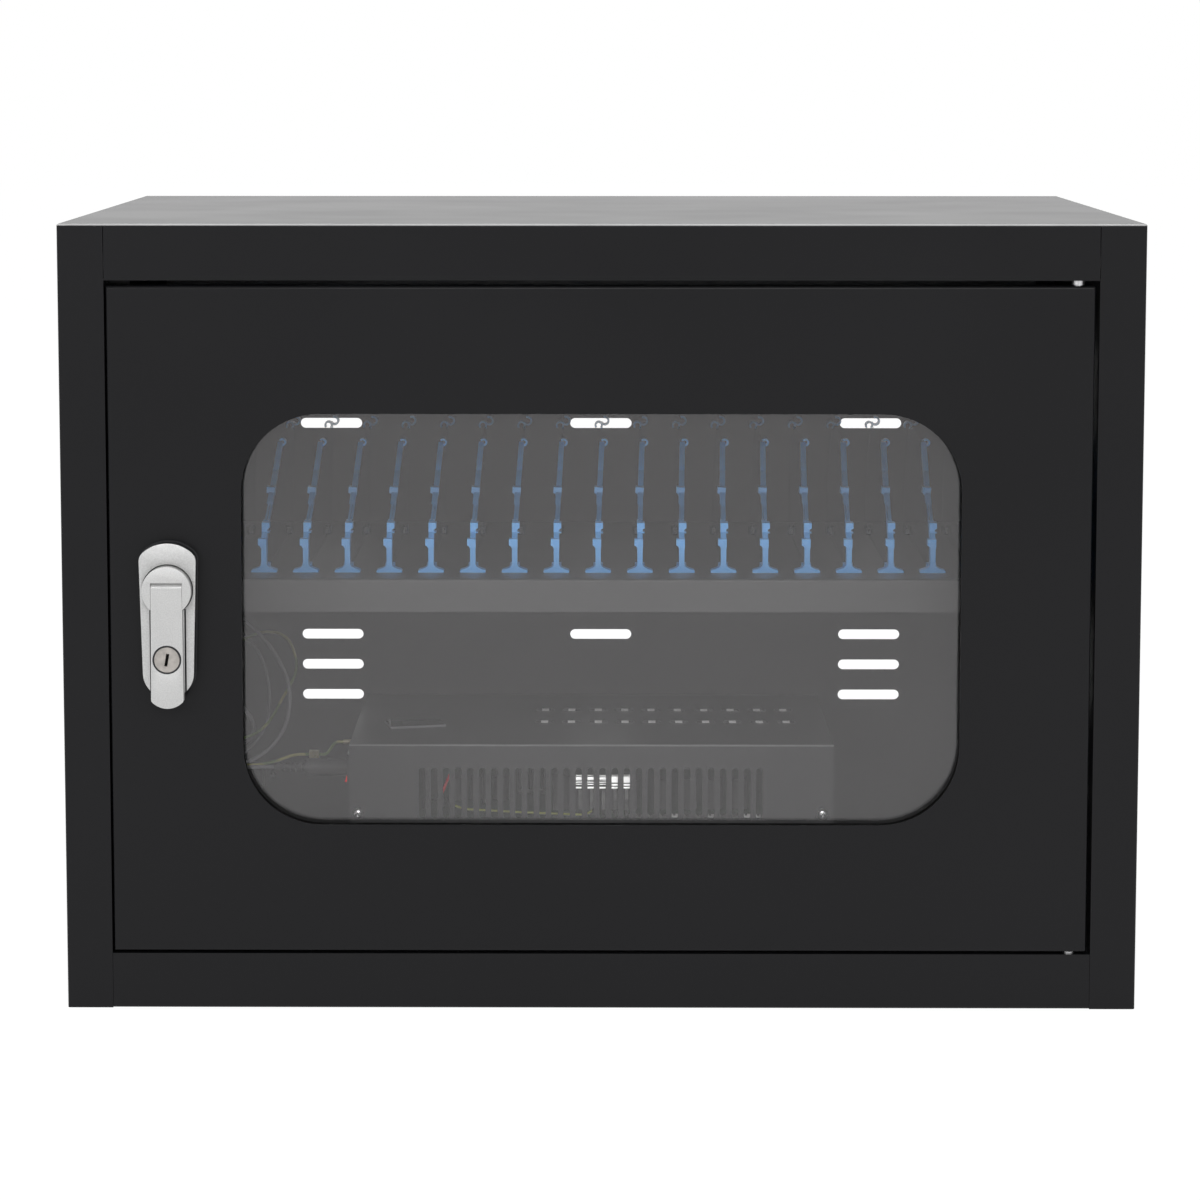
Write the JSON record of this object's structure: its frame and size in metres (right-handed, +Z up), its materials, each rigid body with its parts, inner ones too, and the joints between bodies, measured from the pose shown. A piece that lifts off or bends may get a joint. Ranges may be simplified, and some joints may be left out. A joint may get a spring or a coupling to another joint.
{
  "type": "handset charging cabinet",
  "caption": "Bench-top steel charging cabinet: right-hinged glazed door with swing-handle lock, a shelf of upright dividers over a louvred power box, vented back.",
  "frame": {"origin": "middle of the footprint on the resting plane", "axes": "+X to the right seen from the door side, +Y to the back, +Z up"},
  "size_m": [0.68, 0.4517, 0.5],
  "materials": {
    "powder_black": "matt powder coat",
    "hub_grey": "satin powder coat",
    "divider_blue": "tinted moulding",
    "zinc": "zinc plated",
    "brass": "plain",
    "rubber": "matt",
    "board_green": "solder mask",
    "part_white": "moulded",
    "wire_red": "pvc",
    "plastic_black": "moulded",
    "rocker_red": "lit rocker",
    "wire_grey": "pvc",
    "wire_earth": "pvc with two colours",
    "acrylic": "clear sheet",
    "satin_metal": "satin lacquered zinc casting",
    "key_metal": "turned"
  },
  "bodies": {
    "cabinet": {"shell": "powder_black", "floor_panel": "powder_black", "back_panel": "powder_black", "shelf": "powder_black", "shelf_bracket_left": "powder_black", "shelf_bracket_right": "powder_black", "shelf_screws": "zinc", "hinge_pins": "zinc", "catch_buffers": "rubber", "divider_01": "divider_blue", "divider_02": "divider_blue", "divider_03": "divider_blue", "divider_04": "divider_blue", "divider_05": "divider_blue", "divider_06": "divider_blue", "divider_07": "divider_blue", "divider_08": "divider_blue", "divider_09": "divider_blue", "divider_10": "divider_blue", "divider_11": "divider_blue", "divider_12": "divider_blue", "divider_13": "divider_blue", "divider_14": "divider_blue", "divider_15": "divider_blue", "divider_16": "divider_blue", "divider_17": "divider_blue", "divider_18": "divider_blue", "divider_19": "divider_blue", "divider_20": "divider_blue", "divider_21": "divider_blue", "divider_screws": "zinc", "hub_chassis": "hub_grey", "hub_cover": "hub_grey", "hub_board": "board_green", "hub_parts": "part_white", "hub_wire": "wire_red", "usb_shells": "zinc", "usb_tongues": "part_white", "hub_screws": "zinc", "switch_housing": "plastic_black", "power_inlet": "plastic_black", "inlet_pins": "zinc", "lead_plug": "plastic_black", "power_lead": "wire_grey", "earth_wire": "wire_earth", "bond_wire": "wire_grey", "earth_studs": "brass"},
    "door": {"door_panel": "powder_black", "door_pane": "acrylic", "pane_seal": "rubber", "pane_frame": "powder_black", "pane_nuts": "zinc", "lock_seal": "rubber", "lock_base": "satin_metal", "lock_clamp": "zinc"},
    "rotor": {"lock_rotor": "satin_metal", "lock_cam": "zinc"},
    "handle": {"lock_handle": "satin_metal"},
    "key": {"lock_key": "key_metal"},
    "rocker": {"switch_rocker": "rocker_red"}
  },
  "joints": [
    {"name": "door_swing", "type": "hinge", "parent": "cabinet", "child": "door", "pos_m": [0.298, -0.209, 0.25], "axis": [0, 0, 1], "range_deg": [0, 115]},
    {"name": "rotor_turn", "type": "hinge", "parent": "door", "child": "rotor", "pos_m": [-0.272, -0.215, 0.2708], "axis": [0, -1, 0], "range_deg": [0, 90]},
    {"name": "handle_lift", "type": "hinge", "parent": "rotor", "child": "handle", "pos_m": [-0.272, -0.22895, 0.27245], "axis": [-1, 0, 0], "range_deg": [0, 35]},
    {"name": "key_turn", "type": "hinge", "parent": "handle", "child": "key", "pos_m": [-0.272, -0.2322, 0.2275], "axis": [0, 1, 0], "range_deg": [0, 90]},
    {"name": "switch_rock", "type": "hinge", "parent": "cabinet", "child": "rocker", "pos_m": [-0.174, 0.035, 0.102], "axis": [0, 1, 0], "range_deg": [-14, 0]}
  ]
}
